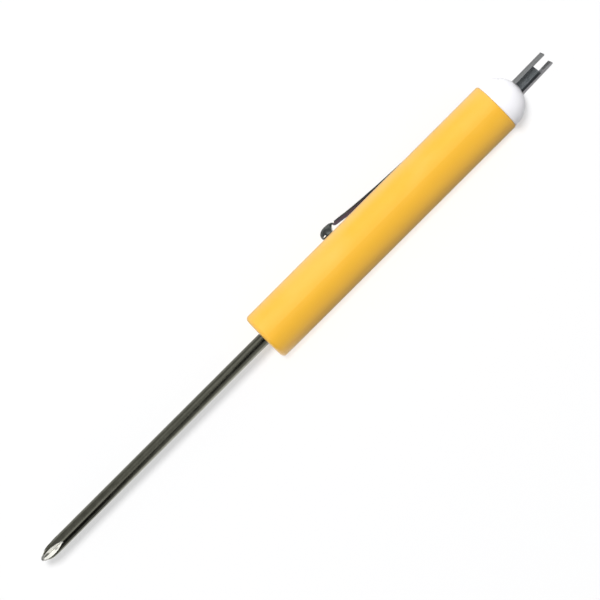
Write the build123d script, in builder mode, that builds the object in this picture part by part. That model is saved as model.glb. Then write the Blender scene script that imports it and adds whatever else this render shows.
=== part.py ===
from build123d import *
import os
from math import sin, cos, tan, atan, radians

# Pen-style pocket screwdriver lying on a bench. Millimetres, +Z up.
# The tool's axis is X: the blade points to -X, the cap and the forked key to +X.
# Origin: on the axis, where the blade's full-size shank ends just in front of the nose.
# The shapes are drawn from a datum on the axis at the nose; shift_x brings that datum
# to its place from the origin when the parts are written.

os.makedirs("parts", exist_ok=True)

# ---- shared dimensions ---------------------------------------------------
shift_x = 0.56
overshoot = 1.0          # how far cutting shapes run past an end
corner_sag = 1 - cos(radians(45))    # corner of a rounded edge to its mid-arc, per unit radius

barrel_len = 73.9        # from the datum to the open rim
cavity_r = 4.35          # inside radius at the mouth, a press fit on the plug
bore_r = 1.40

# coined wings on the buried end of the blade, and their pocket in the barrel
wing_x0, wing_x1 = 10.0, 16.5
wing_half_w = 2.25
wing_end_half_w = 1.3
wing_slant = 1.4         # length of the slanted sides
wing_half_t = 0.55

# pocket clip, spring strip folded over the rim
clip_turn = 33.0         # degrees below +Y, round the axis
clip_t = 0.45
clip_root_w = 3.1
clip_root_r = 6.45       # outer face of the strip where it lies in its recess
bend_x = 72.5            # centre of the bend over the rim
saddle_r = 0.81          # rounded top of the wall inside the bend
bend_gap = 0.03
leg_len = 5.5
leg_tilt = 5.0           # degrees the return leg stands off the wall
side_gap = 0.10

bend_r = clip_root_r - clip_t - saddle_r - bend_gap      # bend's centre from the axis
wall_out = bend_r + saddle_r                             # recess floor
wall_in = bend_r - saddle_r                              # relieved inner wall
half_slot = clip_root_w / 2 + side_gap

# clip plane: local x along the tool, local y radially out, local z sideways
clip_cos, clip_sin = cos(radians(clip_turn)), sin(radians(clip_turn))
clip_plane = Plane(origin=(0, 0, 0), x_dir=(1, 0, 0), z_dir=(0, clip_sin, clip_cos))
# plan plane of the clip: local x along the tool, local y sideways, local z radially in
plan_plane = Plane(origin=(0, 0, 0), x_dir=(1, 0, 0), z_dir=(0, -clip_cos, clip_sin))


def wing_outline():
    """Plan outline of the wings, for use inside a BuildLine."""
    half = [(wing_x0, wing_end_half_w), (wing_x0 + wing_slant, wing_half_w),
            (wing_x1 - wing_slant, wing_half_w), (wing_x1, wing_end_half_w)]
    mirrored = [(x, -y) for x, y in reversed(half)]
    Polyline((wing_x0, 0), *half, *mirrored, (wing_x0, 0))


# ---- barrel: moulded, slight draft -----------------------------------------
nose_x = -0.38           # rim of the nose face
r_nose = 6.20            # outside radius at the nose
r_rim = 6.27             # outside radius at the open rim
nose_edge_r = 1.0
nose_crown = 0.12        # the nose face is very slightly domed
rim_edge = 0.42          # radius of the rim's outer edge
cavity_r_deep = 4.15     # inside radius at the bottom, after draft
cavity_floor_x = 26.0
cavity_floor_r = 2.6
cavity_floor_slant = 1.5
cavity_mouth_x = 62.0    # from here to the rim the cavity is straight
mouth_chamfer = 0.25
bore_len = 22.0
bore_cut_x = -2.0        # the bore's cut starts here, clear of the nose
bore_lead_r = 0.12
bore_lead_len = 0.15
recess_x0 = 46.6         # the clip's recess fades out here
recess_r0 = 6.34
recess_full_x = 50.5     # full depth from here to the rim
slot_clear_r = 6.9       # outside the barrel
relief_r = 3.2           # inside the cavity
relief_x0 = bend_x - leg_len - 1.6
relief_full_x = bend_x - leg_len - 1.2
saddle_overlap = 0.5     # how far the saddle runs back into the wall


def build_barrel():
    apex_x = nose_x - nose_crown
    face_r = r_nose - nose_edge_r
    nose_sag = nose_edge_r * corner_sag
    rim_sag = rim_edge * corner_sag
    cavity_end_x = barrel_len + overshoot
    notch_end_x = barrel_len + overshoot

    with BuildPart() as barrel:
        with BuildSketch(Plane.XZ):
            with BuildLine():
                ThreePointArc((apex_x, 0), (nose_x - nose_crown * 0.75, face_r / 2),
                              (nose_x, face_r))
                ThreePointArc((nose_x, face_r), (nose_x + nose_sag, r_nose - nose_sag),
                              (nose_x + nose_edge_r, r_nose))
                Line((nose_x + nose_edge_r, r_nose), (barrel_len - rim_edge, r_rim))
                ThreePointArc((barrel_len - rim_edge, r_rim),
                              (barrel_len - rim_sag, r_rim - rim_sag),
                              (barrel_len, r_rim - rim_edge))
                Polyline((barrel_len, r_rim - rim_edge), (barrel_len, 0), (apex_x, 0))
            make_face()
        revolve(axis=Axis.X)
        # cavity, open at the rim
        with BuildSketch(Plane.XZ):
            with BuildLine():
                Polyline((cavity_floor_x, 0), (cavity_floor_x, cavity_floor_r),
                         (cavity_floor_x + cavity_floor_slant, cavity_r_deep),
                         (cavity_mouth_x, cavity_r), (barrel_len - mouth_chamfer, cavity_r),
                         (barrel_len, cavity_r + mouth_chamfer),
                         (cavity_end_x, cavity_r + mouth_chamfer),
                         (cavity_end_x, 0), (cavity_floor_x, 0))
            make_face()
        revolve(axis=Axis.X, mode=Mode.SUBTRACT)
        # bore for the blade, with a small lead at its mouth
        with BuildSketch(Plane.XZ):
            with BuildLine():
                Polyline((bore_cut_x, 0), (bore_cut_x, bore_r + bore_lead_r),
                         (apex_x, bore_r + bore_lead_r), (apex_x + bore_lead_len, bore_r),
                         (bore_len, bore_r), (bore_len, 0), (bore_cut_x, 0))
            make_face()
        revolve(axis=Axis.X, mode=Mode.SUBTRACT)
        # moulded pocket round the blade's wings
        with BuildSketch(Plane.XY):
            with BuildLine():
                wing_outline()
            make_face()
        extrude(amount=wing_half_t, both=True, mode=Mode.SUBTRACT)

        # three cuts for the clip, as (x, radius) outlines
        recess = [(recess_x0, slot_clear_r), (recess_x0, recess_r0), (recess_full_x, wall_out),
                  (bend_x, wall_out), (bend_x, slot_clear_r)]
        leg_relief = [(relief_x0, relief_r), (relief_full_x, wall_in),
                      (bend_x, wall_in), (bend_x, relief_r)]
        rim_notch = [(bend_x, relief_r), (notch_end_x, relief_r),
                     (notch_end_x, slot_clear_r), (bend_x, slot_clear_r)]
        for outline in (recess, leg_relief, rim_notch):
            with BuildSketch(clip_plane):
                with BuildLine():
                    Polyline(*outline, outline[0])
                make_face()
            extrude(amount=half_slot, both=True, mode=Mode.SUBTRACT)

        # rounded saddle on top of the wall, inside the bend
        with BuildSketch(clip_plane):
            with BuildLine():
                ThreePointArc((bend_x, wall_out), (bend_x + saddle_r, bend_r),
                              (bend_x, wall_in))
                Polyline((bend_x, wall_in), (bend_x - saddle_overlap, wall_in),
                         (bend_x - saddle_overlap, wall_out), (bend_x, wall_out))
            make_face()
        extrude(amount=half_slot, both=True)
    return barrel.part


# ---- blade -----------------------------------------------------------------
blade_r = 1.62
blade_out = 71.6         # from the datum to the point
blade_in = 21.5          # length buried in the nose
blade_in_r = bore_r      # the buried end is turned down, so the shank seats on the nose
blade_in_chamfer = 0.4
blade_step_x = -shift_x  # where the full-size shank ends
# ground point: (distance from the end, radius)
tip_profile = [
    (0.0, 0.0), (0.06, 0.24), (0.28, 0.46), (0.50, 0.64), (0.75, 0.79),
    (1.00, 0.92), (1.25, 1.05), (1.50, 1.17), (1.75, 1.29), (2.00, 1.38),
    (2.30, 1.47), (2.70, 1.55), (3.20, 1.60), (3.7, blade_r),
]
flute_count = 4
flute_run = 6.55         # flutes run out this far from the point
flute_root = 0.30        # flute's sharp root from the axis at the point
flute_straight = 3.5     # the root is straight this far, then follows the cutter's radius
flute_slope = 0.10
flute_half_angle = 46.0
flute_root_r = 0.16
flute_turn = 8.0         # degrees from +Z towards -Y to the first flute
flute_height = 2.6       # height of the V-shaped cutting section
flute_lead = 1.5         # the cut starts this far beyond the point
flute_sweep = 44.0       # degrees of the cutter's arc


def flute_stations():
    """(x, radius) of a flute root's start, straight end, mid-arc and arc end."""
    tip_x = -blade_out
    rise = blade_r - flute_root - 0.4 * flute_root_r - flute_slope * flute_run
    cutter_r = (flute_run - flute_straight) ** 2 / (2 * rise)
    slope_angle = atan(flute_slope)
    straight_x = tip_x + flute_straight
    straight_r = flute_root + flute_slope * flute_straight
    centre_x = straight_x - cutter_r * sin(slope_angle)
    centre_r = straight_r + cutter_r * cos(slope_angle)
    stations = [(tip_x - flute_lead, flute_root - flute_lead * flute_slope),
                (straight_x, straight_r)]
    for degrees in (flute_sweep / 2, flute_sweep):
        angle = slope_angle + radians(degrees)
        stations.append((centre_x + cutter_r * sin(angle), centre_r - cutter_r * cos(angle)))
    return stations


def build_blade():
    tip_x = -blade_out
    with BuildPart() as blade:
        with BuildSketch(Plane.XZ):
            with BuildLine():
                Polyline(*[(tip_x + x, r) for x, r in tip_profile],
                         (blade_step_x, blade_r), (blade_step_x, blade_in_r),
                         (blade_in - blade_in_chamfer, blade_in_r),
                         (blade_in, blade_in_r - blade_in_chamfer),
                         (blade_in, 0), (tip_x, 0))
            make_face()
        revolve(axis=Axis.X)
        # coined wings on the buried end
        with BuildSketch(Plane.XY):
            with BuildLine():
                wing_outline()
            make_face()
        extrude(amount=wing_half_t, both=True)
        # ground flutes: straight root, then the cutter's radius up to the run-out
        half_w = flute_height * tan(radians(flute_half_angle))
        for k in range(flute_count):
            turn = radians(flute_turn + 360 / flute_count * k)
            radial = Vector(0.0, -sin(turn), cos(turn))
            tangent = Vector(0.0, cos(turn), sin(turn))
            start, straight_end, arc_mid, arc_end = [
                Vector(x, 0, 0) + radial * r for x, r in flute_stations()]
            with BuildLine() as flute_path:
                Line(start, straight_end)
                ThreePointArc(straight_end, arc_mid, arc_end)
            section = Plane(origin=start, x_dir=tangent, z_dir=straight_end - start)
            with BuildSketch(section) as vee:
                Polygon((0, 0), (half_w, flute_height), (-half_w, flute_height), align=None)
                fillet(vee.vertices().sort_by(Axis.Y)[0], radius=flute_root_r)
            sweep(path=flute_path.wires()[0], mode=Mode.SUBTRACT)
    return blade.part


# ---- forked valve-core key: U channel folded from sheet ---------------------
fork_w = 3.54            # over the legs, in the cap
fork_w_tip = 3.34        # over the prong ends, where the legs close in a little
fork_h = 3.10
fork_t = 0.60
fork_fold_r = 0.50
fork_shank_x = 68.0      # buried end
fork_base_x = 80.0       # where the legs start to close in
fork_top_x = 89.75       # prong ends
fork_notch = 3.45
fork_notch_skew = 8.0    # degrees, the notch's end is cut slightly off square
fork_notch_depth = 2.0   # depth of the cut, more than the sheet
fork_y = -0.36           # the key's offset from the axis at fork_base_x
fork_lean = 1.1          # degrees towards +Y
fork_roll = 12.0         # degrees about its own length
prong_round = 0.32       # length of the rounded prong ends
prong_body_gap = 0.30    # the square part stops this far short of the ends
prong_round_extra = 0.03
trim_back = 15.0         # the trimming shape reaches back past the shank
trim_width = 8.0
trim_half_h = 3.0

fork_half_h = fork_h / 2


def channel_outline(width):
    """U section, open upwards, for use inside a BuildLine."""
    half_w = width / 2
    sag = fork_fold_r * corner_sag
    bottom = -fork_half_h
    fold_y = bottom + fork_fold_r
    fold_x = half_w - fork_fold_r
    Line((-half_w, fork_half_h), (-half_w, fold_y))
    ThreePointArc((-half_w, fold_y), (-half_w + sag, bottom + sag), (-fold_x, bottom))
    Line((-fold_x, bottom), (fold_x, bottom))
    ThreePointArc((fold_x, bottom), (half_w - sag, bottom + sag), (half_w, fold_y))
    Polyline((half_w, fold_y), (half_w, fork_half_h), (half_w - fork_t, fork_half_h),
             (half_w - fork_t, bottom + fork_t), (-half_w + fork_t, bottom + fork_t),
             (-half_w + fork_t, fork_half_h), (-half_w, fork_half_h))


def build_fork():
    lean, roll = radians(fork_lean), radians(fork_roll)
    along = Vector(cos(lean), sin(lean), 0)
    level_side = Vector(-sin(lean), cos(lean), 0)
    level_up = Vector(0, 0, 1)
    # rolled so that the +Y leg's outer side shows from above
    side = level_side * cos(roll) + level_up * sin(roll)
    up = level_up * cos(roll) - level_side * sin(roll)
    base = Vector(fork_base_x, fork_y, 0.0)
    section_plane = Plane(origin=base, x_dir=side, z_dir=along)  # local y is up
    top_plane = Plane(origin=base, x_dir=along, z_dir=up)        # local y is towards +Y
    front = (fork_top_x - fork_base_x) / cos(lean)

    def half_gap(distance):
        """Half the gap between the legs, at a distance forward of the base."""
        return (fork_w + (fork_w_tip - fork_w) * distance / front) / 2 - fork_t

    with BuildPart() as fork:
        # prongs, closing in towards their ends
        for plane, width in ((section_plane, fork_w), (section_plane.offset(front), fork_w_tip)):
            with BuildSketch(plane):
                with BuildLine():
                    channel_outline(width)
                make_face()
        loft(ruled=True)
        # shank
        with BuildSketch(section_plane):
            with BuildLine():
                channel_outline(fork_w)
            make_face()
        extrude(amount=-(fork_base_x - fork_shank_x))
        # see-through notch between the prongs, as wide as the channel
        notch_x = front - fork_notch
        notch_half = half_gap(notch_x)
        skew = tan(radians(fork_notch_skew)) * notch_half
        open_x = front + overshoot
        open_half = half_gap(open_x)
        with BuildSketch(top_plane.offset(-fork_half_h + fork_t)):
            with BuildLine():
                Polyline((notch_x - skew, notch_half), (open_x, open_half),
                         (open_x, -open_half), (notch_x + skew, -notch_half),
                         (notch_x - skew, notch_half))
            make_face()
        extrude(amount=-fork_notch_depth, mode=Mode.SUBTRACT)
        # rounded prong ends, as seen from above
        prong_y = half_gap(front) + fork_t / 2
        body_end = front - prong_body_gap
        with BuildSketch(top_plane):
            with Locations(((body_end - trim_back) / 2, 0)):
                Rectangle(body_end + trim_back, trim_width)
            with Locations((front - prong_round, prong_y), (front - prong_round, -prong_y)):
                Ellipse(prong_round, fork_t / 2 + prong_round_extra)
        extrude(amount=trim_half_h, both=True, mode=Mode.INTERSECT)
    return fork.part


# ---- end cap: domed, with a plug ---------------------------------------------
cap_r = 6.12
cap_land = 0.56          # straight length before the dome
cap_chamfer = 0.1
plug_r = cavity_r
plug_len = 9.5
plug_lead = 0.5
leg_clearance = 0.08


def build_end_cap(fork_part):
    plug_x = barrel_len - plug_len
    dome_x = barrel_len + cap_land
    dome_mid = cap_r * cos(radians(45))
    with BuildPart() as end_cap:
        with BuildSketch(Plane.XZ):
            with BuildLine():
                Polyline((plug_x, 0), (plug_x, plug_r - plug_lead),
                         (plug_x + plug_lead * 2, plug_r), (barrel_len, plug_r),
                         (barrel_len, cap_r - cap_chamfer), (barrel_len + cap_chamfer, cap_r),
                         (dome_x, cap_r))
                ThreePointArc((dome_x, cap_r), (dome_x + dome_mid, dome_mid),
                              (dome_x + cap_r, 0))
                Line((dome_x + cap_r, 0), (plug_x, 0))
            make_face()
        revolve(axis=Axis.X)
        # relief in the plug for the clip's return leg, sloped as the leg is
        floor_r = wall_in - bend_gap - clip_t - leg_clearance
        relief_end_x = plug_x - overshoot
        drop = tan(radians(leg_tilt)) * (bend_x - relief_end_x)
        with BuildSketch(clip_plane):
            with BuildLine():
                Polyline((barrel_len, floor_r), (bend_x, floor_r),
                         (relief_end_x, floor_r - drop), (relief_end_x, 7.0),
                         (barrel_len, 7.0), (barrel_len, floor_r))
            make_face()
        extrude(amount=half_slot, both=True, mode=Mode.SUBTRACT)
        # moulded round the key's shank
        add(fork_part, mode=Mode.SUBTRACT)
    return end_cap.part


# ---- pocket clip ---------------------------------------------------------------
flat_x = 54.0            # the strip is straight from here to the bend
# outer face of the strip, from the recess forward to the neck: (x, radius)
strip_outer = [
    (flat_x, clip_root_r), (50.0, 6.61), (46.0, 6.86), (42.0, 7.15), (38.0, 7.57),
    (34.0, 8.15), (31.0, 8.66), (29.3, 8.94), (28.2, 9.12),
]
half_root = clip_root_w / 2
# plan outline, parallel root then long taper: (x, half width)
strip_plan = [
    (75.0, half_root), (60.0, half_root), (52.0, 1.46), (46.0, 1.33), (40.0, 1.17),
    (36.0, 1.00), (34.0, 0.88), (32.5, 0.80), (29.6, 0.76),
]
shoulder_mid = (29.25, 0.62)     # on the rounded shoulder between taper and neck
neck_x0, neck_x1 = 27.0, 29.08
neck_half = 0.50 / 2
plan_cut_depth = 12.0
# formed ball end: (x, centre radius from the axis, radial half size, sideways half size)
ball_sections = [
    (28.95, 9.23, 0.27, 0.30), (28.5, 9.18, 0.45, 0.42), (28.0, 8.88, 0.86, 0.64),
    (27.5, 8.30, 1.50, 1.00), (26.8, 8.03, 1.72, 1.34), (26.0, 7.97, 1.62, 1.36),
    (25.3, 7.96, 1.20, 1.06), (24.92, 8.00, 0.66, 0.60), (24.76, 8.02, 0.20, 0.18),
]


def strip_inner():
    """The outer face's points moved in by the strip's thickness."""
    points = [(flat_x, clip_root_r - clip_t)]
    last = len(strip_outer) - 1
    for i in range(1, last + 1):
        x, r = strip_outer[i]
        before = strip_outer[i - 1]
        after = strip_outer[min(i + 1, last)]
        dx, dr = after[0] - before[0], after[1] - before[1]
        length = (dx * dx + dr * dr) ** 0.5
        points.append((x + clip_t * dr / length, r - clip_t * abs(dx) / length))
    return points


def bend_point(radius, degrees):
    """Point on the bend; degrees from radially out, through +X, to the return leg."""
    angle = radians(degrees)
    return (bend_x + radius * sin(angle), bend_r + radius * cos(angle))


def leg_tip(leg_root):
    tilt = radians(leg_tilt)
    return (leg_root[0] - cos(tilt) * leg_len, leg_root[1] - sin(tilt) * leg_len)


def build_clip():
    inner_points = strip_inner()
    bend_inner = saddle_r + bend_gap
    bend_outer = bend_inner + clip_t
    bend_end = 180.0 - leg_tilt
    outer_root = bend_point(bend_outer, bend_end)
    inner_root = bend_point(bend_inner, bend_end)

    with BuildPart() as clip:
        # side profile of the strip, bend and return leg
        with BuildSketch(clip_plane):
            with BuildLine():
                Spline(*strip_outer, tangents=((-1, 0.005), (-1, 0.05)))
                Line(strip_outer[-1], inner_points[-1])
                Spline(*reversed(inner_points), tangents=((1, -0.05), (1, -0.005)))
                Line(inner_points[0], (bend_x, clip_root_r - clip_t))
                ThreePointArc(bend_point(bend_inner, 0), bend_point(bend_inner, bend_end / 2),
                              inner_root)
                Polyline(inner_root, leg_tip(inner_root), leg_tip(outer_root), outer_root)
                ThreePointArc(outer_root, bend_point(bend_outer, bend_end / 2),
                              bend_point(bend_outer, 0))
                Line((bend_x, clip_root_r), strip_outer[0])
            make_face()
        extrude(amount=clip_root_w, both=True)
        # trimmed to the plan outline
        taper_end = strip_plan[-1]
        with BuildSketch(plan_plane):
            with BuildLine():
                Polyline(*strip_plan)
                ThreePointArc(taper_end, shoulder_mid, (neck_x1, neck_half))
                Polyline((neck_x1, neck_half), (neck_x0, neck_half),
                         (neck_x0, -neck_half), (neck_x1, -neck_half))
                ThreePointArc((neck_x1, -neck_half), (shoulder_mid[0], -shoulder_mid[1]),
                              (taper_end[0], -taper_end[1]))
                Polyline(*[(x, -y) for x, y in reversed(strip_plan)])
                Line((strip_plan[0][0], -half_root), strip_plan[0])
            make_face()
        extrude(amount=plan_cut_depth, both=True, mode=Mode.INTERSECT)
        # formed ball end
        for x, centre_r, half_radial, half_side in ball_sections:
            centre = clip_plane.from_local_coords((x, centre_r, 0))
            with BuildSketch(Plane(origin=centre, x_dir=clip_plane.z_dir, z_dir=(-1, 0, 0))):
                Ellipse(half_side, half_radial)
        loft()
    return clip.part


# ---- write -----------------------------------------------------------------------
fork_part = build_fork()
parts = {
    "barrel": build_barrel(),
    "blade": build_blade(),
    "end_cap": build_end_cap(fork_part),
    "valve_core_fork": fork_part,
    "pocket_clip": build_clip(),
}
for name, part in parts.items():
    placed = part.moved(Location((shift_x, 0, 0)))
    placed.label = name
    export_step(placed, "parts/" + name + ".step")
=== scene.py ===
# Pocket screwdriver lying on a white table. The tool's axis is the x axis: the blade points to -x,
# the cap and the forked key are at the +x end, and the pocket clip runs along the barrel.
# Lengths are in millimetres, and are turned into metres with MM.
import bmesh
import bpy
import math
import numpy as np
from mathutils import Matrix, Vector


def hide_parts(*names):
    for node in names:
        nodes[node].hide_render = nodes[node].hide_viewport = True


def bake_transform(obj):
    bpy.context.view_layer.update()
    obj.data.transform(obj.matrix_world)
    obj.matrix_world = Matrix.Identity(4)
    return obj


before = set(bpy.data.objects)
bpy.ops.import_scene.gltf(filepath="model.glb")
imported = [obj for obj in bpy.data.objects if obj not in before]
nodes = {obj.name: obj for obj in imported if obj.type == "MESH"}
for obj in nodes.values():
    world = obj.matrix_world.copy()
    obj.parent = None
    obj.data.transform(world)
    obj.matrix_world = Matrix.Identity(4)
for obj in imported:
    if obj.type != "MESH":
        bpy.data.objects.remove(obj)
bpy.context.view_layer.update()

MM = 0.001
DATUM_X = 0.56                 # CAD x of the drawing's x = 0
TABLE_Z = -6.285


# ------------------------------------------------------------------ shader helpers
class Shader:
    """A node tree under construction. Most methods add a node and return its output."""

    def __init__(self, tree):
        self.tree = tree
        tree.nodes.clear()

    def put(self, node, key, value):
        if isinstance(value, bpy.types.NodeSocket):
            self.tree.links.new(value, node.inputs[key])
        else:
            node.inputs[key].default_value = value

    def node(self, kind, **inputs):
        node = self.tree.nodes.new(kind)
        for name, value in inputs.items():
            self.put(node, name.replace("_", " "), value)
        return node

    def fill(self, node, keys, values):
        for key, value in zip(keys, values):
            self.put(node, key, value)

    def surface(self, **inputs):
        for name, value in inputs.items():
            self.put(self.bsdf, name.replace("_", " "), value)

    def math(self, operation, *operands, clamp=False):
        node = self.node("ShaderNodeMath")
        node.operation = operation
        node.use_clamp = clamp
        self.fill(node, (0, 1), operands)
        return node.outputs[0]

    def add(self, a, b):
        return self.math("ADD", a, b)

    def subtract(self, a, b):
        return self.math("SUBTRACT", a, b)

    def largest(self, a, b):
        return self.math("MAXIMUM", a, b)

    def multiply(self, product, *factors):
        for factor in factors:
            product = self.math("MULTIPLY", product, factor)
        return product

    def vector(self, operation, *operands):
        node = self.node("ShaderNodeVectorMath")
        node.operation = operation
        self.fill(node, (0, 1), operands)
        return node.outputs["Value" if operation == "DOT_PRODUCT" else "Vector"]

    def separate(self, vector):
        return self.node("ShaderNodeSeparateXYZ", Vector=vector).outputs

    def remap(self, value, over, to=(0, 1), smooth=False):
        """Maps the range `over` onto the range `to`, clamped."""
        node = self.node("ShaderNodeMapRange")
        node.interpolation_type = "SMOOTHSTEP" if smooth else "LINEAR"
        node.clamp = True
        self.fill(node, ("Value", "From Min", "From Max", "To Min", "To Max"), (value, *over, *to))
        return node.outputs[0]

    def remap_mm(self, value, over, **options):
        return self.remap(value, [limit * MM for limit in over], **options)

    def mix(self, factor, first, second):
        """Mixes two colours."""
        node = self.node("ShaderNodeMix")
        node.data_type = "RGBA"
        self.fill(node, (0, 6, 7), (factor, first, second))
        return node.outputs[2]

    def mix_value(self, factor, first, second):
        node = self.node("ShaderNodeMix")
        self.fill(node, (0, 2, 3), (factor, first, second))
        return node.outputs[0]

    def mix_shader(self, factor, first, second):
        node = self.node("ShaderNodeMixShader")
        self.fill(node, (0, 1, 2), (factor, first, second))
        return node.outputs[0]

    def fade(self, value, first, second, over, to=(0, 1)):
        """Goes from the first colour to the second as the value crosses a range."""
        return self.mix(self.remap(value, over=over, to=to), first, second)

    def noise(self, scale, detail=3.0, rough=0.55, distortion=0.0):
        """Scale is in cells per metre; a triple sets it per axis, to draw the cells out."""
        vector = self.coords
        if isinstance(scale, tuple):
            vector = self.vector("MULTIPLY", vector, scale)
            scale = 1.0
        return self.node("ShaderNodeTexNoise", Vector=vector, Scale=scale, Detail=detail,
                         Roughness=rough, Distortion=distortion).outputs[0]

    def jitter(self, noise, amount):
        """Noise centred on zero."""
        return self.multiply(self.subtract(noise, 0.5), amount)

    def spot(self, position, centre, size, ragged, amount, core):
        """Mask of a ragged ellipse seen along z. Centre and half sizes are (x, y) in mm."""
        dx, dy = [self.math("DIVIDE", self.subtract(axis, middle * MM), half * MM)
                  for axis, middle, half in zip(position, centre, size)]
        distance = self.math("SQRT", self.add(self.multiply(dx, dx), self.multiply(dy, dy)))
        edge = self.add(distance, self.jitter(ragged, amount))
        return self.remap(edge, over=(core, 1.15), to=(1, 0), smooth=True)

    def bumps(self, *layers):
        """Stacks bumps onto the surface; each is (height, strength, depth in mm)."""
        normal = None
        for height, strength, depth in layers:
            node = self.node("ShaderNodeBump", Height=height, Strength=strength,
                             Distance=depth * MM)
            if normal is not None:
                self.put(node, "Normal", normal)
            normal = node.outputs[0]
        self.surface(Normal=normal)


def new_material(name):
    material = bpy.data.materials.new(name)
    material.use_nodes = True
    sh = Shader(material.node_tree)
    sh.material = material
    sh.bsdf = sh.node("ShaderNodeBsdfPrincipled")
    sh.output = sh.node("ShaderNodeOutputMaterial", Surface=sh.bsdf.outputs[0])
    sh.coords = sh.node("ShaderNodeTexCoord").outputs["Object"]
    return sh


def rgb(red, green, blue):
    return (red, green, blue, 1.0)


# ------------------------------------------------------------------ plastics
def plastic(name, base, deep, rough, sss, sss_radius, ior, scratch=1.0, peel=1.0, lit_side=None):
    """Moulded plastic. The last argument, if given, is a paler base colour for the side that faces
    +y: painted light from the key lamp on that side. It also turns on painted shade where the
    surface is seen edge on.
    """
    sh = new_material(name)
    # slow tone drift of the moulding, then fine specks in the pigment
    drift = sh.noise(scale=(55, 130, 130), detail=2)
    speck = sh.noise(scale=2600, detail=2, rough=0.6)
    depth = sh.add(sh.remap(drift, over=(0.35, 0.65), to=(0, 0.7)),
                   sh.remap(speck, over=(0.55, 0.8), to=(0, 0.3)))
    tone = sh.mix(depth, base, deep)
    if lit_side is not None:
        # painted light: faces turned toward +y, where the key lamp stands, take the paler colour
        normal = sh.separate(sh.node("ShaderNodeNewGeometry").outputs["Normal"])
        side = sh.remap(normal[1], over=(-0.35, 0.35), smooth=True)
        tone = sh.mix(side, tone, sh.mix(depth, lit_side, deep))
        # painted shade: the colour darkens where the surface is seen edge on
        edge = sh.node("ShaderNodeLayerWeight", Blend=0.5).outputs["Facing"]
        tone = sh.fade(edge, tone, rgb(0.36, 0.235, 0.075), over=(0.60, 0.95), to=(0, 0.50))
    # handling marks: long thin scuffs along the tool and a few across
    along = sh.noise(scale=(160, 5200, 5200), detail=2, rough=0.6, distortion=0.3)
    across = sh.noise(scale=(3800, 420, 420), detail=2, rough=0.6, distortion=0.3)
    scuff = sh.largest(sh.remap(along, over=(0.63, 0.72)), sh.remap(across, over=(0.70, 0.78)))
    blotch = sh.noise(scale=240)
    blotch_rough = sh.remap(blotch, over=(0.3, 0.7), to=(rough - 0.05, rough + 0.07))
    sh.surface(Base_Color=tone,
               Roughness=sh.add(blotch_rough, sh.multiply(scuff, 0.10 * scratch)),
               IOR=ior,
               Subsurface_Weight=sss,
               Subsurface_Radius=sss_radius,
               Subsurface_Scale=1.0 * MM)
    sh.bumps((sh.noise(scale=900, rough=0.5), 0.25 * peel, 0.010),
             (sh.noise(scale=5200, detail=2, rough=0.5), 0.22 * peel, 0.003),
             (scuff, 0.20 * scratch, 0.0025))
    return sh.material


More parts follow.
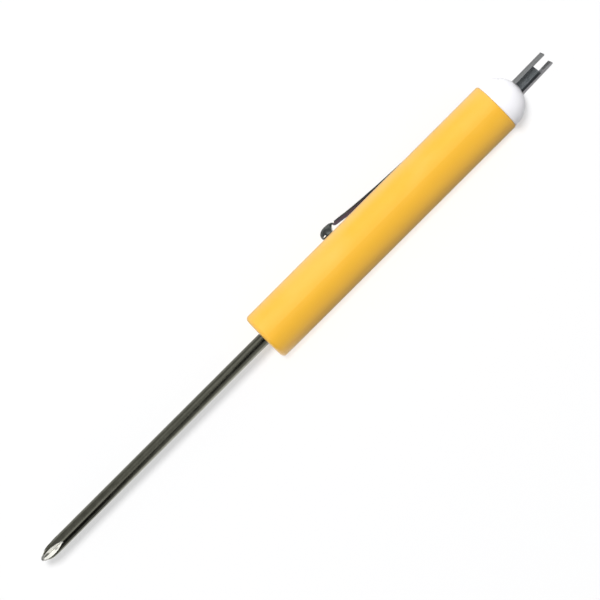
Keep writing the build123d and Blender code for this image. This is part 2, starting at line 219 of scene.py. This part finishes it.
# ------------------------------------------------------------------ blade
def oxide_steel():
    """Dark oxide coat with draw lines, rubbed in places, and bare where it is ground."""
    sh = new_material("blade_steel")
    position = sh.separate(sh.coords)
    x, y, z = position

    # bare metal: the flute walls (their normals stand off the rod's own), and the blade's end
    geometry = sh.node("ShaderNodeNewGeometry")
    wall_normal, rod_normal = [
        sh.vector("NORMALIZE", sh.vector("MULTIPLY", vector, (0, 1, 1)))
        for vector in (geometry.outputs["True Normal"], sh.coords)]
    alike = sh.vector("DOT_PRODUCT", wall_normal, rod_normal)
    flute = sh.remap(alike, over=(0.90, 0.975), to=(1, 0))
    ragged = sh.noise(scale=3300, rough=0.6)
    ragged_x = sh.add(x, sh.jitter(ragged, 1.0 * MM))
    cone = sh.remap_mm(ragged_x, over=(-69.50, -69.75), smooth=True)
    near_point = sh.remap_mm(x, over=(-60.0, -62.0))
    # the flutes to either side keep their coat where they come round to the outline
    inside_outline = sh.remap_mm(sh.math("ABSOLUTE", y), over=(1.12, 1.22), to=(1, 0))
    short_of_tip = sh.remap_mm(ragged_x, over=(-70.60, -70.30))
    for mask in (near_point, inside_outline, short_of_tip):
        flute = sh.math("MULTIPLY", flute, mask, clamp=True)
    bare = sh.largest(flute, cone)

    # coat
    lines = sh.noise(scale=(90, 9000, 9000), rough=0.6)
    mottle = sh.noise(scale=(500, 900, 900), detail=4, rough=0.62)
    rub = sh.noise(scale=(140, 1500, 1500), rough=0.6, distortion=0.5)
    paleness = sh.add(sh.remap(mottle, over=(0.35, 0.7), to=(0, 0.6)),
                      sh.remap(lines, over=(0.45, 0.75), to=(0, 0.35)))
    coat = sh.mix(paleness, rgb(0.100, 0.101, 0.079), rgb(0.158, 0.157, 0.128))
    coat = sh.fade(rub, coat, rgb(0.30, 0.295, 0.26), over=(0.66, 0.78), to=(0, 0.30))

    # ground steel: satin in the flutes, darker at the end
    grind = sh.noise(scale=(9000, 700, 700), rough=0.6)
    steel = sh.fade(grind, rgb(0.93, 0.925, 0.86), rgb(1.0, 0.99, 0.93), over=(0.3, 0.7))
    steel = sh.mix(flute, rgb(0.33, 0.33, 0.315), steel)

    # one bare nick on the upper side, and two dark patches in the flutes
    edge = dict(ragged=sh.noise(scale=1400, rough=0.6), amount=0.8, core=0.55)
    nick = sh.multiply(sh.spot(position, centre=(-64.80, -0.31), size=(0.34, 0.26), **edge),
                       sh.math("GREATER_THAN", z, 0.0))
    flute = sh.largest(flute, nick)
    bare = sh.largest(bare, nick)
    end_patch = sh.spot(position, centre=(-69.40, 0.12), size=(0.95, 0.24), **edge)
    faint_patch = sh.spot(position, centre=(-66.65, -0.44), size=(0.65, 0.22), **edge)
    dark = sh.multiply(sh.largest(end_patch, sh.multiply(faint_patch, 0.6)), flute)
    steel = sh.mix(sh.multiply(dark, 0.95), steel, rgb(0.07, 0.068, 0.055))

    # smoothest toward both ends of the shank
    polish = sh.largest(sh.remap_mm(x, over=(-40, -52)), sh.remap_mm(x, over=(-24, -14)))
    coat_rough = sh.multiply(sh.remap(mottle, over=(0.3, 0.75), to=(0.16, 0.25)),
                             sh.remap(polish, over=(0, 1), to=(1, 0.55)))
    steel_rough = sh.remap(grind, over=(0.3, 0.7), to=(0.30, 0.45))
    sh.surface(Base_Color=sh.mix(bare, coat, steel),
               Metallic=sh.mix_value(flute, 1.0, 0.30),
               Roughness=sh.mix_value(bare, coat_rough, steel_rough))
    sh.bumps((lines, 0.30, 0.004),
             (mottle, 0.22, 0.008),
             (sh.multiply(grind, bare), 0.5, 0.010))
    return sh.material


# ------------------------------------------------------------------ forked key
FORK_BASE = Vector((80.0 + DATUM_X, -0.36, 0.0)) * MM
FORK_LEAN = math.radians(1.1)      # turn about z
FORK_ROLL = math.radians(12.0)     # turn about its own length


def fork_axes():
    """Unit vectors along the fork, across its two legs, and up."""
    level_side = Vector((-math.sin(FORK_LEAN), math.cos(FORK_LEAN), 0))
    vertical = Vector((0, 0, 1))
    along = Vector((math.cos(FORK_LEAN), math.sin(FORK_LEAN), 0))
    side = level_side * math.cos(FORK_ROLL) + vertical * math.sin(FORK_ROLL)
    up = vertical * math.cos(FORK_ROLL) - level_side * math.sin(FORK_ROLL)
    return along, side, up


def fork_steel():
    """Dark slate faces, paler where the sheet was sheared and outside the legs."""
    sh = new_material("fork_steel")
    offset = sh.vector("SUBTRACT", sh.coords, tuple(FORK_BASE))
    along, side, up = [sh.vector("DOT_PRODUCT", offset, tuple(axis)) for axis in fork_axes()]
    mottle = sh.noise(scale=(1300, 2200, 2200), detail=4, rough=0.65)
    streak = sh.noise(scale=(300, 6000, 6000), rough=0.6)
    fleck = sh.noise(scale=(2600, 4200, 4200), detail=4, rough=0.7)

    top = sh.remap_mm(up, over=(1.50, 1.54))
    outer = sh.remap_mm(sh.math("ABSOLUTE", side), over=(1.55, 1.66))
    web = sh.remap_mm(up, over=(-0.78, -0.90))
    low_leg = sh.remap_mm(side, over=(-0.3, 0.3), to=(1, 0))      # the leg on the -side

    def streaked(first, second):
        return sh.fade(streak, first, second, over=(0.3, 0.7))

    slate = sh.fade(mottle, rgb(0.085, 0.092, 0.102), rgb(0.200, 0.210, 0.225), over=(0.35, 0.7))
    web_colour = sh.fade(fleck, rgb(0.170, 0.190, 0.200), rgb(0.390, 0.420, 0.436),
                         over=(0.38, 0.66))
    slate = sh.mix(web, slate, web_colour)
    outer_colour = streaked(rgb(0.145, 0.150, 0.150), rgb(0.190, 0.196, 0.196))
    shear = streaked(rgb(0.235, 0.243, 0.243), rgb(0.295, 0.303, 0.303))
    shear = sh.mix(low_leg, shear, streaked(rgb(0.27, 0.268, 0.277), rgb(0.37, 0.367, 0.377)))
    colour = sh.mix(outer, slate, outer_colour)
    colour = sh.mix(top, colour, shear)

    # painted shade: dark lines along the inside of both legs, as far as the web goes, where the
    # legs shade the web, and dark sheared ends
    wobble = sh.jitter(fleck, 0.25 * MM)
    wobbly_side = sh.add(side, wobble)
    high_painted_shade = sh.multiply(sh.remap_mm(wobbly_side, over=(1.18, 1.24), to=(1, 0)),
                            sh.remap_mm(side, over=(0.6, 0.7)))
    low_painted_shade = sh.multiply(sh.remap_mm(wobbly_side, over=(-1.28, -1.22)),
                           sh.remap_mm(side, over=(0, -0.3)))
    line = sh.multiply(sh.largest(high_painted_shade, low_painted_shade), top,
                       sh.remap_mm(along, over=(6.1, 6.4), to=(1, 0)))
    ends = sh.remap_mm(sh.add(along, wobble), over=(9.63, 9.70), to=(0, 0.85))
    colour = sh.mix(sh.largest(line, ends), colour, rgb(0.016, 0.016, 0.018))

    # painted shade in the inside corners, found with a short-range occlusion test
    occlusion = sh.node("ShaderNodeAmbientOcclusion", Distance=1.1 * MM)
    occlusion.samples = 8
    occlusion.only_local = True
    corner_shade = sh.remap(occlusion.outputs["AO"], over=(0.25, 0.62), to=(0.92, 0))
    colour = sh.mix(corner_shade, colour, rgb(0.012, 0.012, 0.013))

    # painted shade: the inner face of the low leg's prong, which the other prong shades, is
    # darkened nearly to black, except in spots
    prong_shade = sh.multiply(sh.remap_mm(along, over=(6.9, 7.3)),
                        sh.remap_mm(side, over=(0, -0.3)),
                        sh.remap(top, over=(0, 1), to=(1, 0)),
                        sh.remap(outer, over=(0, 1), to=(1, 0)),
                        sh.remap(fleck, over=(0.60, 0.52)))
    colour = sh.mix(prong_shade, colour, rgb(0.02, 0.02, 0.02))

    matt = sh.largest(sh.largest(line, ends), sh.largest(prong_shade, corner_shade))
    metallic = sh.mix_value(sh.largest(top, web), 1.0, 0.35)
    sh.surface(Base_Color=colour,
               Metallic=sh.mix_value(matt, metallic, 0.0),
               Specular_IOR_Level=sh.mix_value(matt, 0.5, 0.06),
               Roughness=sh.remap(mottle, over=(0.3, 0.75), to=(0.30, 0.46)))
    sh.bumps((mottle, 0.5, 0.018), (streak, 0.35, 0.006))
    return sh.material


# ------------------------------------------------------------------ clip steel
def clip_steel(name, dark, light, rough, metallic):
    """Smooth dark metal with fine scratches and two painted highlights, small white spots; rough
    is its (low, high).
    """
    sh = new_material(name)
    cloud = sh.noise(scale=420, detail=4, rough=0.6)
    hair = sh.noise(scale=(260, 7000, 7000), detail=2, rough=0.6)
    colour = sh.fade(cloud, dark, light, over=(0.3, 0.7))
    colour = sh.fade(hair, colour, rgb(0.40, 0.39, 0.40), over=(0.68, 0.80), to=(0, 0.35))
    position = sh.separate(sh.coords)
    edge = dict(ragged=sh.noise(scale=2600, rough=0.6), amount=0.7, core=0.6)
    # painted highlights: a white spot low on the ball end and one at the neck
    painted_glints = sh.multiply(
        sh.largest(sh.spot(position, centre=(26.22, 6.68), size=(0.42, 0.15), **edge),
                   sh.spot(position, centre=(29.86, 7.66), size=(0.26, 0.22), **edge)),
        sh.remap_mm(position[2], over=(-4.9, -4.5)))
    sh.surface(Base_Color=sh.mix(painted_glints, colour, rgb(0.97, 0.97, 0.96)),
               Metallic=sh.mix_value(painted_glints, metallic, 0.15),
               Roughness=sh.remap(cloud, over=(0.3, 0.75), to=rough))
    sh.bumps((cloud, 0.25, 0.012), (hair, 0.25, 0.003))
    return sh.material


def paint(node, material):
    mesh = nodes[node].data
    mesh.materials.clear()
    mesh.materials.append(material)
    for polygon in mesh.polygons:
        polygon.material_index = 0


paint("barrel", plastic(
    "barrel_plastic", base=rgb(0.925, 0.500, 0.036), deep=rgb(0.895, 0.480, 0.034), rough=0.36,
    sss=0.04, sss_radius=(1.0, 0.6, 0.3), ior=1.60, lit_side=rgb(0.935, 0.525, 0.082)))
paint("end_cap", plastic(
    "cap_plastic", base=rgb(0.925, 0.918, 0.955), deep=rgb(0.905, 0.898, 0.935), rough=0.30,
    sss=0.15, sss_radius=(1.0, 0.98, 0.98), ior=1.48, scratch=0.5, peel=0.35))
paint("blade", oxide_steel())
paint("valve_core_fork", fork_steel())
clip_outer = clip_steel("clip_steel", dark=rgb(0.070, 0.079, 0.073),
                        light=rgb(0.122, 0.130, 0.124), rough=(0.08, 0.20), metallic=1.0)
# painted reflection: a purple-tinted copy of the clip steel, rougher and less metallic, for the
# strip's inner face
clip_inner_painted_tint = clip_steel("clip_steel_inner_painted_tint", dark=rgb(0.062, 0.050, 0.130),
                        light=rgb(0.088, 0.070, 0.170), rough=(0.34, 0.50), metallic=0.35)
paint("pocket_clip", clip_outer)


# ------------------------------------------------------------------ the clip, a swept strip
# Its profile is drawn in x and r, the distance out from the tool's axis, in mm.
CLIP_TURN = math.radians(33.0)     # the clip stands this far below level, on the +y side
OUTWARD = Vector((0, math.cos(CLIP_TURN), -math.sin(CLIP_TURN)))
SIDEWAYS = Vector((0, math.sin(CLIP_TURN), math.cos(CLIP_TURN)))

CLIP_THICK = 0.45
ROOT_WIDTH = 3.1
ROOT_R = 6.45                      # outer face of the straight root
ROOT_END_X = 54.0                  # the straight root runs from here to the bend
BEND_X = 72.5
SADDLE_RADIUS = 0.81
SADDLE_GAP = 0.03
BEND_R = ROOT_R - CLIP_THICK - SADDLE_RADIUS - SADDLE_GAP      # centre of the bend
BEND_MID_RADIUS = SADDLE_RADIUS + SADDLE_GAP + CLIP_THICK / 2
LEG_LENGTH = 5.5                   # the leg folded back under the root
LEG_TILT = math.radians(5.0)
CORNER = 0.11                      # corner radius of the strip's section
THIN_CORNER = 0.09                 # the same toward the ball

# outer face of the strip: (x, r)
STRIP_FACE = [
    (28.90, 9.27), (29.05, 9.08), (29.2, 8.94), (29.5, 8.83), (30.0, 8.75), (31.0, 8.63),
    (32.3, 8.40), (34.0, 8.10), (38.0, 7.57), (42.0, 7.17), (46.0, 6.87), (50.0, 6.62),
    (ROOT_END_X, ROOT_R)]
STRIP_END_X = STRIP_FACE[0][0]
# (x, half width)
STRIP_WIDTH = [
    (24.0, 0.22), (28.95, 0.22), (29.05, 0.30), (29.15, 0.62), (29.30, 0.73), (29.6, 0.76),
    (31.0, 0.76), (32.5, 0.78), (34.0, 0.88), (36.0, 1.00), (40.0, 1.17), (46.0, 1.33),
    (52.0, 1.46), (60.0, ROOT_WIDTH / 2), (80.0, ROOT_WIDTH / 2)]
# (x, thickness)
STRIP_THICKNESS = [(STRIP_END_X, 0.36), (29.5, 0.38), (31.0, CLIP_THICK)]
# formed ball end: (x, centre r, radial half size, sideways half size)
BALL = np.array([
    (28.79, 9.13, 0.20, 0.24), (28.66, 9.19, 0.28, 0.28), (28.42, 9.12, 0.50, 0.44),
    (28.1, 8.92, 0.80, 0.62), (27.5, 8.34, 1.44, 1.00), (26.8, 8.03, 1.71, 1.32),
    (26.0, 7.97, 1.60, 1.34), (25.3, 7.96, 1.20, 1.04), (24.95, 7.99, 0.72, 0.64),
    (24.79, 8.02, 0.28, 0.25), (24.76, 8.02, 0.05, 0.045)])


def clamped_spline(points, start_slope, end_slope):
    """Cubic spline through the (x, y) points with set end slopes, as a function of x."""
    xs, ys = np.array(points, float).T
    count = len(xs)
    step = np.diff(xs)
    slope = np.diff(ys) / step
    matrix = np.zeros((count, count))
    right = np.zeros(count)
    matrix[0, :2] = 2 * step[0], step[0]
    right[0] = 6 * (slope[0] - start_slope)
    matrix[-1, -2:] = step[-1], 2 * step[-1]
    right[-1] = 6 * (end_slope - slope[-1])
    for i in range(1, count - 1):
        matrix[i, i - 1:i + 2] = step[i - 1], 2 * (step[i - 1] + step[i]), step[i]
        right[i] = 6 * (slope[i] - slope[i - 1])
    curve = np.linalg.solve(matrix, right)

    def value(x):
        i = int(np.clip(np.searchsorted(xs, x) - 1, 0, count - 2))
        before, after, h = x - xs[i], xs[i + 1] - x, step[i]
        return ((curve[i] * after ** 3 + curve[i + 1] * before ** 3) / (6 * h)
                + (ys[i] / h - curve[i] * h / 6) * after
                + (ys[i + 1] / h - curve[i + 1] * h / 6) * before)
    return value


def catmull_rom(points, per_span=9):
    """Points of a smooth curve through the given rows."""
    padded = np.vstack([2 * points[0] - points[1], points, 2 * points[-1] - points[-2]])
    curve = []
    for i in range(1, len(padded) - 2):
        a, b, c, d = padded[i - 1:i + 3]
        for u in np.linspace(0, 1, per_span, endpoint=False):
            curve.append(0.5 * (2 * b + (c - a) * u + (2 * a - 5 * b + 4 * c - d) * u * u
                                + (3 * b - a - 3 * c + d) * u ** 3))
    curve.append(padded[-2])
    return curve


def along_table(x, table):
    return float(np.interp(x, *zip(*table)))


def outline(half_width, half_thick, corner, roundness, corner_steps=5):
    """Rounded rectangle, or an ellipse at roundness 1, as (sideways, out) points."""
    corner = min(corner, half_width * 0.98, half_thick * 0.98)
    points = []
    for quarter, (side, out) in enumerate(((1, 1), (-1, 1), (-1, -1), (1, -1))):
        for j in range(corner_steps + 1):
            angle = math.radians(90 * quarter + 90 * j / corner_steps)
            box_a = side * (half_width - corner) + corner * math.cos(angle)
            box_b = out * (half_thick - corner) + corner * math.sin(angle)
            # the matching point of the ellipse
            angle = math.atan2(box_b / half_thick, box_a / half_width)
            oval_a = half_width * math.cos(angle)
            oval_b = half_thick * math.sin(angle)
            points.append((box_a * (1 - roundness) + oval_a * roundness,
                           box_b * (1 - roundness) + oval_b * roundness))
    return points


def section(x, r, tangent, half_width, half_thick, corner=CORNER, roundness=0.0):
    """Vertices of one cross section, square to the tangent given in x and r."""
    length = math.hypot(*tangent)
    tangent_x, tangent_r = tangent[0] / length, tangent[1] / length
    centre = Vector((x + DATUM_X, 0, 0)) + OUTWARD * r
    out = Vector((tangent_r, 0, 0)) + OUTWARD * (-tangent_x)
    return [(centre + SIDEWAYS * a + out * b) * MM
            for a, b in outline(half_width, half_thick, corner, roundness)]


def bend_point(angle):
    """Mid line of the bend, by the angle from straight out."""
    return BEND_X + BEND_MID_RADIUS * math.sin(angle), BEND_R + BEND_MID_RADIUS * math.cos(angle)


def root_sections():
    """From the tip of the folded leg, round the bend and along the straight root."""
    half_width, half_thick = ROOT_WIDTH / 2, CLIP_THICK / 2
    leg_x, leg_r = bend_point(math.pi - LEG_TILT)
    toward_bend = math.cos(LEG_TILT), math.sin(LEG_TILT)
    # (distance from the bend, how much the section is drawn in)
    leg = [(LEG_LENGTH, 0.10), (LEG_LENGTH - 0.03, 0.05), (LEG_LENGTH - 0.09, 0.0)]
    leg += [(distance, 0.0) for distance in np.linspace(LEG_LENGTH - 0.5, 0.0, 10)]
    for distance, shrink in leg:
        yield section(leg_x - toward_bend[0] * distance, leg_r - toward_bend[1] * distance,
                      toward_bend, half_width - shrink, half_thick - shrink)
    for angle in np.linspace(math.pi - LEG_TILT, 0, 30)[1:-1]:
        yield section(*bend_point(angle), (-math.cos(angle), math.sin(angle)),
                      half_width, half_thick)
    for x in np.linspace(BEND_X, ROOT_END_X, 24)[:-1]:
        yield section(x, ROOT_R - half_thick, (-1, 0), along_table(x, STRIP_WIDTH), half_thick)


def strip_sections():
    """From the root to the narrow end, where the steps are finer."""
    face_r = clamped_spline(STRIP_FACE, start_slope=-1.4, end_slope=0.0)
    for x in (*np.linspace(ROOT_END_X, 31.0, 46), *np.linspace(30.8, 29.5, 12),
              *np.linspace(29.42, 28.94, 14)):
        slope = (face_r(x + 1e-3) - face_r(x - 1e-3)) / 2e-3
        half_thick = along_table(x, STRIP_THICKNESS) / 2
        # the mid line is half the thickness inside the outer face
        inset = half_thick / math.hypot(1, slope)
        yield section(x + slope * inset, face_r(x) - inset, (-1, -slope),
                      along_table(x, STRIP_WIDTH), half_thick,
                      corner=CORNER if x > 30 else THIN_CORNER)


def ball_sections():
    """The section turns from flat to oval, and its lean dies out, over the first steps."""
    for i, (x, r, half_radial, half_side) in enumerate(catmull_rom(BALL)[1:], start=1):
        yield section(x, r, (-1, 1.2 * max(0.0, 1.0 - i / 9.0)),
                      max(half_side, 0.03), max(half_radial, 0.03),
                      corner=THIN_CORNER, roundness=min(1.0, i / 12.0))


def build_clip():
    sections = [*root_sections(), *strip_sections(), *ball_sections()]
    ring = len(sections[0])
    vertices = [tuple(vertex) for points in sections for vertex in points]
    faces = []
    for start in range(0, len(vertices) - ring, ring):
        for j in range(ring):
            a, b = start + j, start + (j + 1) % ring
            faces.append((a, a + ring, b + ring, b))
    faces.append(tuple(range(ring)))
    faces.append(tuple(reversed(range(len(vertices) - ring, len(vertices)))))
    mesh = bpy.data.meshes.new("clip_strip")
    mesh.from_pydata(vertices, [], faces)
    mesh.validate()
    strip = bpy.data.objects.new("clip_strip", mesh)
    bpy.context.scene.collection.objects.link(strip)

    bm = bmesh.new()
    bm.from_mesh(mesh)
    bmesh.ops.remove_doubles(bm, verts=bm.verts, dist=1e-7)
    bmesh.ops.recalc_face_normals(bm, faces=bm.faces)
    bm.to_mesh(mesh)
    bm.free()

    mesh.materials.append(clip_outer)
    mesh.materials.append(clip_inner_painted_tint)
    for polygon in mesh.polygons:
        polygon.use_smooth = True
        # the strip's inner face looks back at the tool's axis and takes the purple painted
        # reflection tint; the folded leg is left out
        centre = polygon.center
        if (polygon.normal.dot(OUTWARD) < -0.8 and centre.dot(OUTWARD) > 5.9 * MM
                and centre.x > (STRIP_END_X + DATUM_X) * MM):
            polygon.material_index = 1
    return strip


clip = build_clip()
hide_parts("pocket_clip")
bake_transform(clip)


# ------------------------------------------------------------------ table
def table_white():
    """Matt white that glows a little, with its own brightness where the tool mirrors it."""
    sh = new_material("table_white")
    x, y, z = sh.separate(sh.coords)
    mirrored = sh.node("ShaderNodeLightPath").outputs["Is Glossy Ray"]
    # brighter under the blade, on the -y side
    under_blade = sh.remap_mm(x, over=(4, -4))
    low_side = sh.remap_mm(y, over=(0, -6))
    boost = sh.multiply(under_blade, low_side, mirrored)
    # nearly black well beside the point, and dim beside the barrel and past the cap
    far = sh.multiply(sh.remap_mm(y, over=(-10, -35)), sh.remap_mm(x, over=(-45, -55)))
    beside_barrel = sh.multiply(sh.remap_mm(x, over=(2, 10), to=(0, 0.62)), low_side)
    behind = sh.largest(beside_barrel, sh.remap_mm(x, over=(78, 82), to=(0, 0.30)))
    shade = sh.multiply(sh.largest(sh.multiply(far, 0.93), behind), mirrored)
    level = sh.subtract(1.0, shade)
    glow = sh.add(0.345, sh.multiply(boost, 1.2))
    sh.surface(Base_Color=sh.mix(level, rgb(0, 0, 0), rgb(0.50, 0.50, 0.502)),
               Roughness=0.85,
               Specular_IOR_Level=0.0,
               Emission_Color=rgb(1, 1, 1),
               Emission_Strength=sh.multiply(glow, level))
    sh.bumps((sh.noise(scale=900), 0.05, 0.010))
    # seen from underneath the table lets the view through
    backfacing = sh.node("ShaderNodeNewGeometry").outputs["Backfacing"]
    clear = sh.node("ShaderNodeBsdfTransparent").outputs[0]
    sh.put(sh.output, "Surface", sh.mix_shader(backfacing, sh.bsdf.outputs[0], clear))
    return sh.material


def build_table(reach=4.0):
    """A square sheet, `reach` metres from its middle to each side."""
    mesh = bpy.data.meshes.new("table")
    corners = ((-1, -1), (1, -1), (1, 1), (-1, 1))
    mesh.from_pydata([(reach * x, reach * y, TABLE_Z * MM) for x, y in corners],
                     [], [(0, 1, 2, 3)])
    table = bpy.data.objects.new("table", mesh)
    bpy.context.scene.collection.objects.link(table)
    mesh.materials.append(table_white())
    return table


floor = build_table()

# ------------------------------------------------------------------ world
# what reflections see: (degrees from straight up toward -y, brightness)
SOFT_BOX = [
    (-180, 0.55), (-100, 0.55), (-75, 0.52), (-48, 0.50), (-34, 0.50), (-24, 0.80), (-14, 1.65),
    (-4, 1.85), (5, 0.95), (14, 0.06), (24, 0.02), (40, 0.0), (58, 0.0), (68, 0.15), (77, 0.95),
    (86, 1.0), (180, 1.0)]
SOFT_BOX_TOP = 2.0             # the ramp holds 0 to 1, the strength carries the rest


def build_world():
    """Even white for the camera and for diffuse light, a soft-box pattern for reflections."""
    world = bpy.data.worlds.new("studio")
    bpy.context.scene.world = world
    world.use_nodes = True
    sh = Shader(world.node_tree)
    x, y, z = sh.separate(sh.node("ShaderNodeTexCoord").outputs["Generated"])
    angle = sh.math("ARCTAN2", sh.multiply(y, -1.0), z)
    # the pattern turns with the direction's x, so the soft box's edge slides along the tool
    slide = sh.math("MINIMUM", sh.largest(sh.add(x, 0.041), -0.032), 0.028)
    gain = sh.add(9.0, sh.multiply(sh.math("GREATER_THAN", slide, 0.0), 14.0))
    angle = sh.add(angle, sh.multiply(slide, gain))
    turn = sh.add(sh.math("DIVIDE", angle, 2 * math.pi), 0.5)

    ramp = sh.node("ShaderNodeValToRGB", Fac=turn)
    ramp.color_ramp.interpolation = "B_SPLINE"
    elements = ramp.color_ramp.elements
    elements.remove(elements[-1])
    elements[0].position = 0.0
    for i, (degrees, level) in enumerate(SOFT_BOX):
        element = elements.new((degrees + 180) / 360) if i else elements[0]
        element.color = rgb(*(level / SOFT_BOX_TOP,) * 3)

    def background(colour, strength):
        return sh.node("ShaderNodeBackground", Color=colour, Strength=strength).outputs[0]

    rays = sh.node("ShaderNodeLightPath").outputs
    lighting = sh.mix_shader(rays["Is Glossy Ray"],
                             background(rgb(0.985, 0.99, 1.0), strength=0.24),
                             background(ramp.outputs[0], strength=SOFT_BOX_TOP))
    seen = sh.mix_shader(rays["Is Camera Ray"], lighting,
                         background(rgb(1, 1, 1), strength=1.1))
    sh.node("ShaderNodeOutputWorld", Surface=seen)


build_world()

# ------------------------------------------------------------------ lights
LAMP_DISTANCE = 3.0            # metres; far enough to light the table evenly
LAMP_TARGET = Vector((10 * MM, 0, 0))
WHITE_WATTS = math.pi ** 2     # at one metre, lights a white matt face to 1.0


def group(name, *objects):
    collection = bpy.data.collections.new(name)
    for member in objects:
        collection.objects.link(member)
    return collection


def lamp(name, direction, size, level, receivers, blockers=None):
    """Disk light, size in metres, lighting only `receivers`, shadowed only by `blockers`."""
    data = bpy.data.lights.new(name, "AREA")
    data.shape = "DISK"
    data.size = size
    data.energy = level * WHITE_WATTS * LAMP_DISTANCE ** 2
    light = bpy.data.objects.new(name, data)
    bpy.context.scene.collection.objects.link(light)
    direction = Vector(direction).normalized()
    light.location = LAMP_TARGET + direction * LAMP_DISTANCE
    light.rotation_mode = "QUATERNION"
    light.rotation_quaternion = direction.to_track_quat("Z", "Y")
    light.visible_glossy = False
    light.light_linking.receiver_collection = receivers
    if blockers is not None:
        light.light_linking.blocker_collection = blockers


def leaning(degrees):
    """Direction this far from the vertical, towards +y."""
    return (0, math.sin(math.radians(degrees)), math.cos(math.radians(degrees)))


barrel, cap, blade, fork = [nodes[n] for n in ("barrel", "end_cap", "blade", "valve_core_fork")]
tool = group("lit_tool", barrel, cap, blade, fork, clip)
on_table = group("lit_table", floor)
slim = group("shade_slim", blade)
both = group("shade_both", blade, cap)
solid = group("shade_solid", cap, barrel)
cap_only = group("lit_cap", cap)
lamp("key_tool", leaning(22.0), size=1.65, level=1.04, receivers=tool)
lamp("key_table", leaning(15.2), size=0.81, level=0.22, receivers=on_table, blockers=slim)
lamp("key_table_cap", leaning(15.2), size=0.81, level=0.53, receivers=on_table, blockers=both)
lamp("edge_table", leaning(8.0), size=0.45, level=0.38, receivers=on_table, blockers=solid)
lamp("cap_fill", (0.85, 0.0, 0.5), size=1.2, level=0.12, receivers=cap_only)

# ------------------------------------------------------------------ camera
# straight above, rolled so that the tool runs from lower left to upper right
CAMERA_HEIGHT = 945.0
VIEW_WIDTH = 135.84            # width of the view at the height of the tool's axis

camera_data = bpy.data.cameras.new("camera")
camera_data.sensor_width = 36.0
camera_data.lens = 36.0 * CAMERA_HEIGHT / VIEW_WIDTH
camera_data.clip_start = 0.05
camera_data.clip_end = 20.0
camera = bpy.data.objects.new("camera", camera_data)
bpy.context.scene.collection.objects.link(camera)
camera.location = ((11.445 + DATUM_X) * MM, 0.440 * MM, CAMERA_HEIGHT * MM)
camera.rotation_euler = (0, 0, math.radians(-44.957))
bpy.context.scene.camera = camera

view = bpy.context.scene.view_settings
view.view_transform = "Standard"
view.look = "None"
view.exposure = 0.0
view.gamma = 1.0
